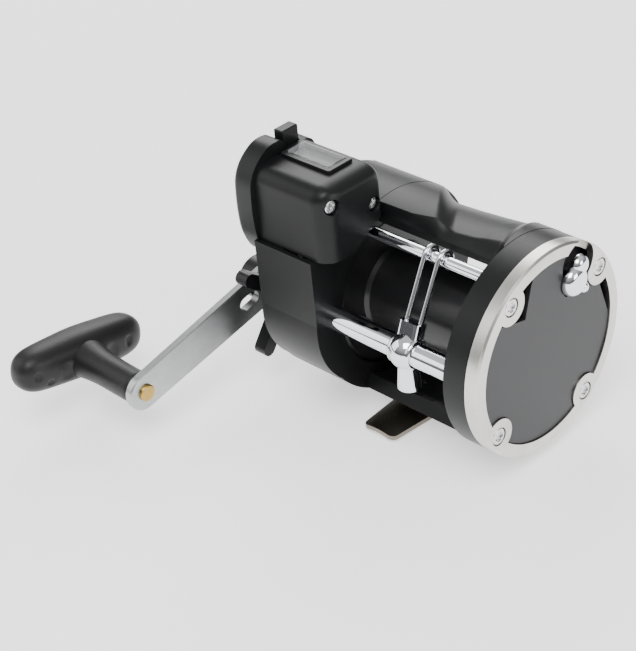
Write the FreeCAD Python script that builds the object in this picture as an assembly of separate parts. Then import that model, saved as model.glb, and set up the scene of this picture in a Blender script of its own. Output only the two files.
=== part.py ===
import FreeCAD
import Part
import math
import os
from FreeCAD import Vector

# A level-wind trolling reel with a line counter. Millimetres.
# Origin: centre of the foot's underside. +X runs along the spool towards the metal
# side ring, -X towards the handle, -Y to the line guide, +Y to the angler, +Z up.
# Lengths along X are drawn from a working plane that lies foot_offset towards the ring
# from the foot's middle; save() shifts every piece so that the foot's middle is the origin.
os.makedirs("parts", exist_ok=True)

# Driving dimensions
foot_offset = 4.0
plate_radius = 36.0
drum_radius = 36.5
axis_z = 39.2
ring_face_x = 46.0
ring_back_x = 41.5
left_wall_x = 33.0
gear_wall_x = -17.5
gear_seam_x = -20.2
web_back_x = -22.6
gear_face_x = -45.0
frame_bore = 27.4
wall = 2.4

# Spool
flange_radius = 26.8
arbor_radius = 15.0
shaft_radius = 2.95
bearing_radius = 5.5

# Line guide: the tube's axis and the stabilizer rod's axis
tube_y = -30.9
tube_z = axis_z + 4.2
tube_radius = 4.0
rod_y = -14.5
rod_z = axis_z + 29.7
rod_radius = 2.0
carriage_x = 14.2
wire_spacing = 5.6
wire_radius = 0.9

# Handle and drag: the main shaft's axis and the handle's rivet
pinion_teeth = 12
drive_teeth = 48
drive_module = 0.6
gear_distance = drive_module * (pinion_teeth + drive_teeth) / 2
hub_angle = math.radians(202)
hub_y = gear_distance * math.cos(hub_angle)
hub_z = axis_z + gear_distance * math.sin(hub_angle)
arm_back_x = -65.5
arm_front_x = -62.5
rivet_y = -77.0
rivet_z = axis_z - 19.2

# Cover screws
screw_circle = 31.4
screw_start = 35.0

# Line counter
housing_front_y = -37.0
housing_rear_y = -10.0
housing_bottom_z = axis_z + 28.0
housing_top_z = axis_z + 53.6
housing_near_x = -11.0
housing_far_x = -43.0
cap_far_x = -50.0
wheel_radius = 10.2


# ---------------------------------------------------------------- helpers
def save(node, shapes):
    if not isinstance(shapes, list):
        shapes = [shapes]
    solids = []
    for shape in shapes:
        solids.extend(shape.Solids)
    result = solids[0] if len(solids) == 1 else Part.makeCompound(solids)
    result.translate(Vector(foot_offset, 0, 0))
    result.exportStep("parts/" + node + ".step")
    volume = sum(solid.Volume for solid in solids)
    print("%-22s solids %d  volume %.0f" % (node, len(solids), volume))


def rod(radius, x0, x1, y, z):
    return Part.makeCylinder(radius, x1 - x0, Vector(x0, y, z), Vector(1, 0, 0))


def pipe(outer, inner, x0, x1, y, z):
    return rod(outer, x0, x1, y, z).cut(rod(inner, x0 - 1, x1 + 1, y, z))


def block(x0, x1, y0, y1, z0, z1):
    return Part.makeBox(x1 - x0, y1 - y0, z1 - z0, Vector(x0, y0, z0))


def prism(points, x0, x1):
    # A flat outline of (y, z) corners, drawn out along X.
    corners = [Vector(x0, y, z) for y, z in points]
    face = Part.Face(Part.makePolygon(corners + corners[:1]))
    return face.extrude(Vector(x1 - x0, 0, 0))


def turned(profile, y, z):
    # A closed (x, radius) outline turned about an axis along X.
    corners = [Vector(x, y, z + radius) for x, radius in profile]
    face = Part.Face(Part.makePolygon(corners + corners[:1]))
    return face.revolve(Vector(0, y, z), Vector(1, 0, 0), 360)


def around(radius, degrees, y=0.0, z=axis_z):
    # A point on a circle about an axis along X; 0 degrees is +Y and 90 is up.
    angle = math.radians(degrees)
    return y + radius * math.cos(angle), z + radius * math.sin(angle)


def spin(shape, degrees, y=0.0, z=axis_z):
    copy = shape.copy()
    copy.rotate(Vector(0, y, z), Vector(1, 0, 0), degrees)
    return copy


def long_edges(shape, length, direction):
    found = []
    for edge in shape.Edges:
        if edge.Curve.TypeId != "Part::GeomLine" or edge.Length < length:
            continue
        run = edge.Vertexes[-1].Point - edge.Vertexes[0].Point
        if abs(run.dot(direction)) > 0.99 * run.Length:
            found.append(edge)
    return found


def edges_at_x(shape, x):
    found = []
    for edge in shape.Edges:
        box = edge.BoundBox
        if abs(box.XMin - x) < 0.01 and abs(box.XMax - x) < 0.01:
            found.append(edge)
    return found


def toothed(teeth, module, x0, x1, y, z, bore, phase=0.0):
    # A spur gear with straight-sided teeth, thin enough to run with backlash.
    pitch = teeth * module / 2
    step = 2 * math.pi / teeth
    corners = []
    for index in range(teeth):
        middle = math.radians(phase) + index * step
        for part, radius in ((-0.23, pitch - 1.1 * module), (-0.08, pitch + 0.7 * module),
                             (0.08, pitch + 0.7 * module), (0.23, pitch - 1.1 * module)):
            angle = middle + part * step
            corners.append((y + radius * math.cos(angle), z + radius * math.sin(angle)))
    gear = prism(corners, x0, x1)
    if bore > 0:
        gear = gear.cut(rod(bore, x0 - 1, x1 + 1, y, z))
    return gear


def mesh_phase(teeth, driver_teeth, driver_phase, driver_y, driver_z, y, z):
    # The phase that puts a gap of this gear opposite a tooth of its driver.
    towards = math.degrees(math.atan2(z - driver_z, y - driver_y))
    offset = (towards - driver_phase) / (360 / driver_teeth)
    return towards + 180 - (0.5 - offset) * 360 / teeth


def screw(head_radius, head_height, shank_radius, length, x, y, z):
    # A domed screw with a cross recess; its head points along +X from x.
    head = rod(head_radius, x, x + head_height, y, z)
    head = head.makeFillet(head_height * 0.45, edges_at_x(head, x + head_height))
    slot = 0.28 * head_radius
    arm = 0.62 * head_radius
    top = x + head_height
    head = head.cut(block(top - 0.6, top + 1, y - arm, y + arm, z - slot, z + slot))
    head = head.cut(block(top - 0.6, top + 1, y - slot, y + slot, z - arm, z + arm))
    return head.fuse(rod(shank_radius, x - length, x, y, z))


def flipped(shape, x):
    # The same solid facing the other way along X, mirrored in the plane at x.
    return shape.mirror(Vector(x, 0, 0), Vector(1, 0, 0))


def screw_places():
    return [around(screw_circle, screw_start + 90 * index) for index in range(4)]


# ---------------------------------------------------------------- left side
def left_frame_ring():
    # Bored for the spool's flange, and counterbored from outside for the bearing plate.
    ring = pipe(plate_radius, frame_bore, left_wall_x, ring_back_x, 0, axis_z)
    ring = ring.cut(rod(33.9, 38.4, ring_back_x + 1, 0, axis_z))
    for y, z in screw_places():
        ring = ring.cut(rod(1.25, 35.0, 39.0, y, z))
    ring = ring.cut(rod(tube_radius, left_wall_x - 1, 37.0, tube_y, tube_z))
    ring = ring.cut(rod(rod_radius, left_wall_x - 1, 36.0, rod_y, rod_z))
    return ring


def cover_outline(x0, x1, grow):
    # The dark plate's outline: a disc with a bay at each screw, wider beside two of them.
    disc = rod(31.2 + grow, x0, x1, 0, axis_z)
    for index in range(4):
        y, z = around(screw_circle, screw_start + 90 * index)
        disc = disc.cut(rod(6.4 - grow, x0 - 1, x1 + 1, y, z))
    return disc


def bearing_plate():
    plate = rod(33.8, 38.5, 40.5, 0, axis_z)
    plate = plate.fuse(rod(8.0, 36.8, 38.6, 0, axis_z))
    plate = plate.cut(rod(bearing_radius, 36.0, 41.5, 0, axis_z))
    for y, z in screw_places():
        plate = plate.cut(rod(1.7, 38.0, 41.0, y, z))
    return plate.cut(click_slot(37.5, 41.5, 2.3))


click_angle = 59.0
click_radius = 25.0
click_travel = 5.0


def click_slot(x0, x1, half_width):
    # A round-ended slot that runs inwards from the button's rest place.
    slot = block(x0, x1, click_radius - click_travel, click_radius, axis_z - half_width,
                 axis_z + half_width)
    for radius in (click_radius - click_travel, click_radius):
        slot = slot.fuse(rod(half_width, x0, x1, radius, axis_z))
    return spin(slot, click_angle)


def side_ring():
    # A rim, and a face plate whose inner edge follows the cover's outline.
    rim = pipe(plate_radius, 33.6, ring_back_x, ring_face_x, 0, axis_z)
    face = rod(plate_radius, 43.6, ring_face_x, 0, axis_z).cut(cover_outline(43.0, 47.0, 0.25))
    ring = rim.fuse(face).removeSplitter()
    for y, z in screw_places():
        ring = ring.cut(rod(3.2, 44.6, 47.0, y, z))
        ring = ring.cut(rod(1.7, 41.0, 47.0, y, z))
        ring = ring.fuse(pipe(2.4, 1.7, 40.5, 43.7, y, z))
    ring = ring.cut(spin(rod(7.4, 43.0, 47.0, 29.0, axis_z), click_angle))
    outer = [edge for edge in edges_at_x(ring,
                                         ring_face_x) if edge.BoundBox.YLength > 2 * plate_radius - 0.1]
    return ring.makeChamfer(0.7, outer)


def left_cover():
    # Two deep bays stay open to the dark inside, beside the upper screws.
    cover = cover_outline(43.6, 45.4, 0.0)
    for bay in (((-5, 34), (-7.9, 27.6), (-11.0, 17.4), (-21.4, 20.1), (-30, 26)),
                ((33, -3), (30.8, -1), (25.8, 13), (20.6, 22.3), (28, 27), (36, 10))):
        cover = cover.cut(prism([(y, axis_z + z) for y, z in bay], 43, 46))
    cover = cover.cut(spin(rod(7.4, 43.0, 47.0, 29.0, axis_z), click_angle))
    boss = pipe(6.5, 4.5, 41.3, 43.7, 0, axis_z)
    for angle in (screw_start + 40, screw_start + 130, screw_start + 220, screw_start + 310):
        y, z = around(21.5, angle)
        boss = boss.fuse(rod(2.2, 40.5, 43.7, y, z))
    cover = cover.fuse(boss)
    return cover.cut(click_slot(43.0, 46.5, 2.3))


def cover_screws():
    return [screw(2.9, 1.3, 1.2, 9.2, 44.65, y, z) for y, z in screw_places()]


def bearings():
    places = ((36.9, 40.1), (-23.4, -20.2))
    return [pipe(bearing_radius, shaft_radius + 0.05, x0, x1, 0, axis_z) for x0, x1 in places]


def click_button():
    # A stem in the slot carries a round thumb pad and its narrower neck outside the cover.
    stem = rod(1.9, 38.7, 45.8, click_radius, axis_z)
    pad = rod(5.6, 45.75, 49.6, click_radius - 1.5, axis_z)
    pad = pad.makeFillet(1.7, edges_at_x(pad, 49.6))
    neck = rod(3.9, 46.3, 48.8, click_radius + 4.6, axis_z)
    neck = neck.makeFillet(1.1, edges_at_x(neck, 48.8))
    return spin(stem.fuse(pad).fuse(neck), click_angle)


def click_tongue():
    # A pointed tongue behind the bearing plate; it reaches the click gear when slid in.
    tip = 9.6 + click_travel
    corners = ((tip, axis_z), (tip + 3.0, axis_z + 1.7), (click_radius + 2.0, axis_z + 1.7),
               (click_radius + 2.0, axis_z - 1.7), (tip + 3.0, axis_z - 1.7))
    tongue = prism(corners, 35.5, 36.7).fuse(rod(1.9, 36.6, 38.7, click_radius, axis_z))
    return spin(tongue, click_angle)


# ---------------------------------------------------------------- spool
def spool():
    arbor_ends = (-18.4, 33.9)
    flange_ends = (-19.9, 35.2)
    profile = [(flange_ends[0], shaft_radius), (flange_ends[0], flange_radius - 0.5),
               (flange_ends[0] + 0.5, flange_radius), (arbor_ends[0] - 0.4, flange_radius),
               (arbor_ends[0], flange_radius - 1.0), (arbor_ends[0] + 0.3, arbor_radius + 1.2),
               (arbor_ends[0] + 1.5, arbor_radius), (arbor_ends[1] - 1.5, arbor_radius),
               (arbor_ends[1] - 0.3, arbor_radius + 1.2), (arbor_ends[1], flange_radius - 1.0),
               (arbor_ends[1] + 0.4, flange_radius), (flange_ends[1] - 0.5, flange_radius),
               (flange_ends[1], flange_radius - 0.5), (flange_ends[1], shaft_radius)]
    body = turned(profile, 0, axis_z)
    # The arbor is hollow from both ends, down to a middle web.
    body = body.cut(pipe(arbor_radius - 2.2, 5.2, flange_ends[0] - 1, 6.0, 0, axis_z))
    return body.cut(pipe(arbor_radius - 2.2, 5.2, 9.0, flange_ends[1] + 1, 0, axis_z))


# The levelwind train, in one plane behind the gear-side wall
spool_gear_teeth = 14
idler_teeth = 36
worm_teeth = 18
train_module = 0.6
tube_reach = math.hypot(tube_y, tube_z - axis_z)
tube_angle = math.atan2(tube_z - axis_z, tube_y)
idler_reach = train_module * (spool_gear_teeth + idler_teeth) / 2
idler_y = idler_reach * math.cos(tube_angle)
idler_z = axis_z + idler_reach * math.sin(tube_angle)
train_x = (-26.0, -24.0)

# The counter's train climbs from the worm's gear to the counter's shaft
gear_a_big = 24
gear_a_small = 8
gear_b_big = 28
gear_b_small = 8
counter_teeth = 28
counter_module = 0.7
lower_rise = 77
middle_rise = 72
upper_rise = 90
a_y, a_z = around(train_module * (worm_teeth + gear_a_big) / 2, lower_rise, tube_y, tube_z)
b_y, b_z = around(counter_module * (gear_a_small + gear_b_big) / 2, middle_rise, a_y, a_z)
counter_y, counter_z = around(counter_module * (gear_b_small + counter_teeth) / 2, upper_rise, b_y, b_z)

idler_phase = mesh_phase(idler_teeth, spool_gear_teeth, 0, 0, axis_z, idler_y, idler_z)
worm_phase = mesh_phase(worm_teeth, idler_teeth, idler_phase, idler_y, idler_z, tube_y, tube_z)
a_phase = mesh_phase(gear_a_big, worm_teeth, worm_phase, tube_y, tube_z, a_y, a_z)
b_phase = mesh_phase(gear_b_big, gear_a_small, 0, a_y, a_z, b_y, b_z)
counter_phase = mesh_phase(counter_teeth, gear_b_small, 0, b_y, b_z, counter_y, counter_z)


def spool_gear():
    return toothed(spool_gear_teeth, train_module, train_x[0], train_x[1], 0, axis_z, shaft_radius)


def click_gear():
    return toothed(20, 0.85, 35.5, 36.6, 0, axis_z, shaft_radius)


def idler_gear():
    return toothed(idler_teeth, train_module, train_x[0], train_x[1], idler_y, idler_z, 1.56, idler_phase)


def counter_gear_a():
    big = toothed(gear_a_big, train_module, train_x[0], train_x[1], a_y, a_z, 0, a_phase)
    small = toothed(gear_a_small, counter_module, -28.4, train_x[0], a_y, a_z, 0)
    return big.fuse(small).cut(rod(1.06, -30, -20, a_y, a_z))


def counter_gear_b():
    big = toothed(gear_b_big, counter_module, -28.4, -26.4, b_y, b_z, 0, b_phase)
    small = toothed(gear_b_small, counter_module, -30.8, -28.4, b_y, b_z, 0)
    return big.fuse(small).cut(rod(1.06, -32, -23, b_y, b_z))


def worm_shaft():
    # Shaft, end journals and the gear at its driven end, made as one piece.
    body = rod(2.5, -17.0, 32.0, tube_y, tube_z)
    journals = rod(1.5, -28.5, 36.3, tube_y, tube_z)
    gear = toothed(worm_teeth, train_module, train_x[0], train_x[1], tube_y, tube_z, 0, worm_phase)
    return body.fuse(journals).fuse(gear)


# ---------------------------------------------------------------- line guide
def levelwind_tube():
    tube = pipe(tube_radius, 2.9, -19.8, 36.9, tube_y, tube_z)
    slot = block(-14.0, 30.0, tube_y - 1.3, tube_y + 1.3, tube_z - 5, tube_z - 2)
    ends = pipe(2.95, 1.56, 33.5, 36.9, tube_y, tube_z)
    return tube.cut(slot).fuse(ends)


def stabilizer_rod():
    return rod(rod_radius, -19.8, 35.9, rod_y, rod_z)


collar_tilt = 23.0
carriage_ball = 6.1
post_radius_low = 3.9
post_radius_high = 3.3


def tilted(shape):
    copy = shape.copy()
    copy.rotate(Vector(0, tube_y, tube_z), Vector(1, 0, 0), -collar_tilt)
    return copy


def carriage():
    barrel = rod(5.2, carriage_x - 4.6, carriage_x + 4.6, tube_y, tube_z)
    ends = edges_at_x(barrel, carriage_x - 4.6) + edges_at_x(barrel, carriage_x + 4.6)
    barrel = barrel.makeFillet(1.0, ends)
    ball = Part.makeSphere(carriage_ball, Vector(carriage_x, tube_y, tube_z))
    ball = ball.common(block(carriage_x - 4.6, carriage_x + 4.6, tube_y - 8, tube_y + 8, tube_z - 8,
                             tube_z + 8))
    post = Part.makeCone(post_radius_low, post_radius_high, 9.4, Vector(carriage_x, tube_y,
            tube_z - 12.4), Vector(0, 0, 1))
    collar = block(carriage_x - 4.2, carriage_x + 4.2, tube_y - 2.8, tube_y + 2.8, tube_z + 3.0,
                   tube_z + 9.6)
    collar = collar.makeFillet(1.8, long_edges(collar, 5, Vector(0, 0, 1)))
    solid = barrel.fuse(ball).fuse(post).fuse(tilted(collar))
    solid = solid.cut(rod(tube_radius + 0.06, carriage_x - 6, carriage_x + 6, tube_y, tube_z))
    bore = Part.makeCylinder(2.06, 11.0, Vector(carriage_x, tube_y, tube_z - 13.0), Vector(0, 0, 1))
    return solid.cut(bore)


def pawl():
    stem = Part.makeCylinder(2.0, 6.0, Vector(carriage_x, tube_y, tube_z - 10.4), Vector(0, 0, 1))
    tip = block(carriage_x - 1.0, carriage_x + 1.0, tube_y - 0.6, tube_y + 0.6, tube_z - 4.5, tube_z - 2.7)
    return stem.fuse(tip)


def pawl_cap():
    cap = Part.makeCylinder(post_radius_low, 1.2, Vector(carriage_x, tube_y, tube_z - 13.6), Vector(0, 0,
            1))
    plug = Part.makeCylinder(2.05, 2.0, Vector(carriage_x, tube_y, tube_z - 12.5), Vector(0, 0, 1))
    return cap.fuse(plug)


def guide_wires():
    # Each wire rises from the collar, bends over the rod and ends behind it.
    collar_top = FreeCAD.Rotation(Vector(1, 0, 0), -collar_tilt).multVec(Vector(0, 0, 7.0))
    start = Vector(0, tube_y + collar_top.y, tube_z + collar_top.z)
    centre = Vector(0, rod_y, rod_z)
    hook = rod_radius + wire_radius + 0.25
    reach = (centre - start).Length
    rise = math.atan2(centre.z - start.z, centre.y - start.y)
    touch = rise + math.asin(hook / reach) + math.pi / 2

    def on_hook(angle):
        return centre + Vector(0, hook * math.cos(angle), hook * math.sin(angle))

    sweep_end = touch - math.radians(215)
    tail = on_hook(sweep_end) + Vector(0, math.sin(sweep_end), -math.cos(sweep_end)) * 0.8
    path = Part.Wire([Part.makeLine(start, on_hook(touch)),
                      Part.Arc(on_hook(touch), on_hook((touch + sweep_end) / 2),
                               on_hook(sweep_end)).toShape(),
                      Part.makeLine(on_hook(sweep_end), tail)])
    profile = Part.Wire([Part.makeCircle(wire_radius, start, on_hook(touch) - start)])
    wire = path.makePipeShell([profile], True, False)
    wires = []
    for side in (-1, 1):
        copy = wire.copy()
        copy.translate(Vector(carriage_x + side * wire_spacing / 2, 0, 0))
        wires.append(copy)
    return wires


def carriage_with_sockets():
    solid = carriage()
    for side in (-1, 1):
        x = carriage_x + side * wire_spacing / 2
        axis = FreeCAD.Rotation(Vector(1, 0, 0), -collar_tilt).multVec(Vector(0, 0, 1))
        base = Vector(x, tube_y, tube_z) + axis * 6.9
        solid = solid.cut(Part.makeCylinder(1.25, 6.0, base, axis))
    return solid


save("left_frame_ring", left_frame_ring())
save("side_ring", side_ring())
save("left_cover", left_cover())
save("cover_screws", cover_screws())
save("left_bearing_plate", bearing_plate())
save("spool_bearings", bearings())
save("click_button", click_button())
save("click_tongue", click_tongue())
save("click_gear", click_gear())
save("spool", spool())
save("spool_gear", spool_gear())
save("idler_gear", idler_gear())
save("counter_gear_a", counter_gear_a())
save("counter_gear_b", counter_gear_b())
save("worm_shaft", worm_shaft())
save("levelwind_tube", levelwind_tube())
save("stabilizer_rod", stabilizer_rod())
save("carriage", carriage_with_sockets())
save("pawl", pawl())
save("pawl_cap", pawl_cap())
save("guide_wires", guide_wires())


# ---------------------------------------------------------------- cross bars and foot
def wedge(profile, start, end):
    # A closed (x, radius) outline swept about the spool's axis between two angles.
    corners = []
    for x, radius in profile:
        y, z = around(radius, start)
        corners.append(Vector(x, y, z))
    face = Part.Face(Part.makePolygon(corners + corners[:1]))
    return face.revolve(Vector(0, 0, axis_z), Vector(1, 0, 0), end - start)


def thumb_bar():
    # The outer line dips to the thumb rest and climbs to a lip beside the side plate.
    crest = [(gear_wall_x, 32.4), (-6, 32.2), (2, 32.5), (10, 33.3), (20, 34.3), (27, 35.1),
             (30, 35.9), (left_wall_x, 36.0)]
    inner = [(left_wall_x, 29.6), (gear_wall_x, 29.6)]
    bar = wedge(crest + inner, 28, 99)
    # A raised panel at the gear side narrows towards the back.
    panel = wedge([(gear_wall_x, 36.4), (4, 36.4), (4, 30), (gear_wall_x, 30)], 40, 99)
    plan = [(gear_wall_x - 1, -12), (3.0, -12), (2.5, -2), (-2, 8), (-8, 16), (-13, 22),
            (gear_wall_x - 1, 24)]
    corners = [Vector(x, y, axis_z) for x, y in plan]
    outline = Part.Face(Part.makePolygon(corners + corners[:1])).extrude(Vector(0, 0, 50))
    return bar.fuse(panel.common(outline)).removeSplitter()


def rear_bar():
    profile = [(gear_wall_x, 35.4), (left_wall_x, 35.4), (left_wall_x, 31.0), (gear_wall_x, 31.0)]
    return wedge(profile, -42, -20)


foot_width = 16.0
foot_tip_width = 13.3
foot_front_y = -29.0
foot_rear_y = 31.0
foot_thickness = 1.5
foot_arch = 1.5
foot_top_z = 4.4


def foot_bridge():
    profile = [(gear_wall_x, 36.0), (left_wall_x, 36.0), (left_wall_x, 31.0), (gear_wall_x, 31.0)]
    bar = wedge(profile, 238, 292)
    bar = bar.cut(block(-foot_offset - 11, -foot_offset + 11, -30, 30, -5, foot_top_z + 0.6))
    for y in rivet_places:
        bar = bar.cut(rivet_pin(1.5, y, foot_top_z, 12))
    return bar


rivet_places = (-5.0, 5.0)


def rivet_pin(radius, y, z0, height):
    return Part.makeCylinder(radius, height, Vector(-foot_offset, y, z0), Vector(0, 0, 1))


def foot():
    # An arched strip with narrowing tabs, and a flat saddle under the cross bar.
    half = foot_width / 2
    bend = (half * half + foot_arch * foot_arch) / (2 * foot_arch)
    centre_z = foot_arch - bend
    length = foot_rear_y - foot_front_y
    strip = Part.makeCylinder(bend + foot_thickness, length, Vector(0, foot_front_y, centre_z), Vector(0,
            1, 0))
    strip = strip.cut(Part.makeCylinder(bend, length + 2, Vector(0, foot_front_y - 1, centre_z),
                                        Vector(0, 1, 0)))
    tip = foot_tip_width / 2
    plan = [(-tip, foot_front_y), (tip, foot_front_y), (half, -12), (half, 12), (tip, foot_rear_y),
            (-tip, foot_rear_y),
            (-half, 12), (-half, -12)]
    corners = [Vector(x, y, -1) for x, y in plan]
    outline = Part.Face(Part.makePolygon(corners + corners[:1])).extrude(Vector(0, 0, 9))
    tab_corners = [edge for edge in long_edges(outline, 8, Vector(0, 0,
            1)) if abs(edge.Vertexes[0].Point.y) > 20]
    outline = outline.makeFillet(2.6, tab_corners)
    strip = strip.common(outline)
    saddle = block(-half, half, -11, 11, 0, foot_top_z + 0.6)
    solid = strip.fuse(saddle)
    solid.translate(Vector(-foot_offset, 0, 0))
    for y in rivet_places:
        solid = solid.cut(rivet_pin(1.5, y, -1, 8))
        solid = solid.cut(rivet_pin(2.8, y, -1, 2.6))
    return solid


def foot_rivets():
    return [rivet_pin(2.7, y, 0.5, 1.1).fuse(rivet_pin(1.45, y, 1.5, 5.6)) for y in rivet_places]


# ---------------------------------------------------------------- gear side
bulge_top_z = housing_bottom_z - 0.1


def side_profile(x0, x1, inset):
    # The drum's round plus the front bulge that houses the counter's train.
    disc = rod(drum_radius - inset, x0, x1, 0, axis_z)
    front = -38.8 + inset
    top = bulge_top_z - inset
    start, bend, end = Vector(x0, front, axis_z + 4), Vector(x0, front + 1.5, axis_z - 9.5), Vector(x0,
            front + 8.6, axis_z - 20.6)
    corners = [end, Vector(x0, -14, axis_z - 20.6), Vector(x0, -14, top), Vector(x0, front, top), start]
    outline = Part.Wire([Part.Arc(start, bend, end).toShape()] +
                        [Part.makeLine(a, b) for a, b in zip(corners, corners[1:])])
    bulge = Part.Face(outline).extrude(Vector(x1 - x0, 0, 0))
    if inset > 0:
        limit = rod(drum_radius - inset, x0, x1, 0, axis_z).fuse(block(x0, x1, -45, 0, axis_z - 12,
                axis_z + 40))
        bulge = bulge.common(limit)
    return disc.fuse(bulge).removeSplitter()


def gear_side_frame():
    # A rim with a spigot that fits inside the cover, bored for the spool's flange.
    body = side_profile(gear_seam_x, gear_wall_x, 0)
    body = body.fuse(side_profile(web_back_x, gear_seam_x, wall + 0.05))
    body = body.cut(rod(frame_bore, -20.5, gear_wall_x + 1, 0, axis_z))
    body = body.fuse(rod(8.0, -23.6, -20.2, 0, axis_z))
    # A tab rises into the counter's housing to hold the upper axle.
    body = body.fuse(block(web_back_x, -20.5, b_y - 4.2, b_y + 4.2, axis_z + 15, b_z + 3.6))
    body = body.cut(rod(bearing_radius, -25.0, -19.0, 0, axis_z))
    body = body.cut(rod(tube_radius, -19.8, gear_wall_x + 1, tube_y, tube_z))
    body = body.cut(rod(1.56, -24.0, -19.0, tube_y, tube_z))
    body = body.cut(rod(rod_radius, -19.8, gear_wall_x + 1, rod_y, rod_z))
    for angle in post_angles:
        y, z = around(post_radius, angle)
        body = body.cut(rod(1.3, -24, -20.0, y, z))
    body = body.cut(rod(1.5, -24.0, -21.0, idler_y, idler_z))
    body = body.cut(rod(1.0, -24.0, -21.0, a_y, a_z))
    return body.cut(rod(1.0, -24.0, -20.9, b_y, b_z))


def gear_axles():
    return [rod(1.5, -26.4, -21.0, idler_y, idler_z), rod(1.0, -28.9, -21.0, a_y, a_z),
            rod(1.0, -31.2, -20.9, b_y, b_z)]


post_angles = (50.0, 106.0, 262.0, 330.0)
post_radius = 30.6
lever_y = 9.0
lever_z = axis_z + 17.0
lever_angle = 18


def gear_cover():
    body = side_profile(gear_face_x, gear_seam_x, 0)
    rim = [edge for edge in edges_at_x(body, gear_face_x)]
    body = body.makeChamfer(2.2, rim)
    body = body.cut(side_profile(gear_face_x + wall, gear_seam_x + 1, wall))
    for angle in post_angles:
        y, z = around(post_radius, angle)
        body = body.fuse(rod(2.9, gear_face_x + 1.5, web_back_x, y, z))
        body = body.cut(rod(1.6, gear_face_x - 1, gear_seam_x + 1, y, z))
        body = body.cut(rod(2.5, gear_face_x - 1, gear_face_x + 1.3, y, z))
    body = body.cut(block(-31.3, gear_seam_x + 1, -37.2, -10.4, axis_z + 17, axis_z + 42))
    body = body.cut(rod(6.3, -29.0, gear_seam_x + 1, tube_y, tube_z))
    body = body.fuse(rod(7.0, -47.0, gear_face_x + 1, hub_y, hub_z))
    body = body.cut(rod(3.06, -50.0, -40.0, hub_y, hub_z))
    body = body.cut(rod(2.46, -50.0, -40.0, lever_y, lever_z))
    return body.cut(spool_end_socket())


def spool_end_socket():
    return rod(1.86, -43.8, -42.0, 0, axis_z)


def gear_cover_screws():
    screws = []
    for angle in post_angles:
        y, z = around(post_radius, angle)
        outward = screw(2.4, 1.2, 1.3, 22.6, gear_face_x, y, z)
        screws.append(flipped(outward, gear_face_x + 0.65))
    return screws


def bridge_plate():
    plate = rod(33.7, -31.0, -29.9, 0, axis_z)
    plate = plate.cut(block(-32, -29, -45, -10.0, axis_z + 14, axis_z + 40))
    plate = plate.cut(rod(2.6, -32, -29, 0, axis_z))
    plate = plate.cut(rod(3.06, -32, -29, hub_y, hub_z))
    plate = plate.cut(rod(1.6, -32, -29, tube_y, tube_z))
    for angle in post_angles:
        y, z = around(post_radius, angle)
        plate = plate.cut(rod(3.0, -32, -29, y, z))
    for side in (-1, 1):
        plate = plate.fuse(rod(1.2, -42.4, -31.0, side * yoke_post_y, yoke_post_z))
    return plate.fuse(rod(1.2, -33.4, -31.0, dog_y, dog_z))


yoke_post_y = 6.6
yoke_post_z = axis_z + 10.5
dog_y = hub_y - 9.8
dog_z = hub_z - 9.4


def spool_shaft():
    return rod(shaft_radius, -29.0, 40.4, 0, axis_z).fuse(rod(1.8, -43.6, -29.0, 0, axis_z))


pinion_phase = mesh_phase(pinion_teeth, drive_teeth, 0, hub_y, hub_z, 0, axis_z)


def pinion():
    gear = toothed(pinion_teeth, drive_module, -36.8, -32.4, 0, axis_z, 0, pinion_phase)
    collar = rod(5.0, -40.6, -39.4, 0, axis_z).fuse(rod(3.7, -39.5, -38.0, 0, axis_z))
    collar = collar.fuse(rod(5.0, -38.0, -36.8, 0, axis_z))
    return gear.fuse(collar).cut(rod(1.86, -42, -31, 0, axis_z))


def yoke():
    plate = block(-39.2, -38.2, -8.6, 8.6, axis_z - 4.5, axis_z + 13)
    plate = plate.cut(block(-40, -37, -4.0, 4.0, axis_z - 6, axis_z))
    plate = plate.cut(rod(4.0, -40, -37, 0, axis_z))
    for side in (-1, 1):
        plate = plate.cut(rod(1.27, -40, -37, side * yoke_post_y, yoke_post_z))
    return plate


def coil(radius, wire, pitch, height, base, axis):
    helix = Part.makeHelix(pitch, height, radius)
    profile = Part.Wire([Part.makeCircle(wire, Vector(radius, 0, 0), Vector(0, 1, 0))])
    spring = Part.Wire(helix).makePipeShell([profile], True, True)
    turn = FreeCAD.Rotation(Vector(0, 0, 1), axis)
    spring.Placement = FreeCAD.Placement(base, turn)
    return spring


def yoke_springs():
    springs = []
    for side in (-1, 1):
        base = Vector(-42.3, side * yoke_post_y, yoke_post_z)
        springs.append(coil(1.75, 0.25, 0.95, 2.8, base, Vector(1, 0, 0)))
    return springs


def clutch_lever():
    hub = rod(4.6, -48.2, -45.3, lever_y, lever_z)
    arm = block(-48.2, -46.0, lever_y, lever_y + 19.0, lever_z - 3.0, lever_z + 3.0)
    pad = block(-50.4, -46.0, lever_y + 14.5, lever_y + 19.0, lever_z - 4.2, lever_z + 4.2)
    pad = pad.makeFillet(1.2, pad.Edges)
    lever = hub.fuse(spin(arm.fuse(pad), lever_angle, lever_y, lever_z))
    return lever.fuse(rod(2.4, -45.4, -41.8, lever_y, lever_z)).fuse(rod(3.6, -42.4, -41.4, lever_y,
            lever_z))


def main_shaft():
    shaft = rod(3.0, -69.0, -30.0, hub_y, hub_z)
    return shaft.fuse(rod(4.4, -62.4, -58.6, hub_y, hub_z))


def drive_gear():
    gear = toothed(drive_teeth, drive_module, -36.0, -33.6, hub_y, hub_z, 3.05, 0)
    return gear.fuse(pipe(5.0, 3.05, -33.7, -33.3, hub_y, hub_z))


def washers(outer, places):
    return [pipe(outer, 3.05, x - 0.6, x, hub_y, hub_z) for x in places]


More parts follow.
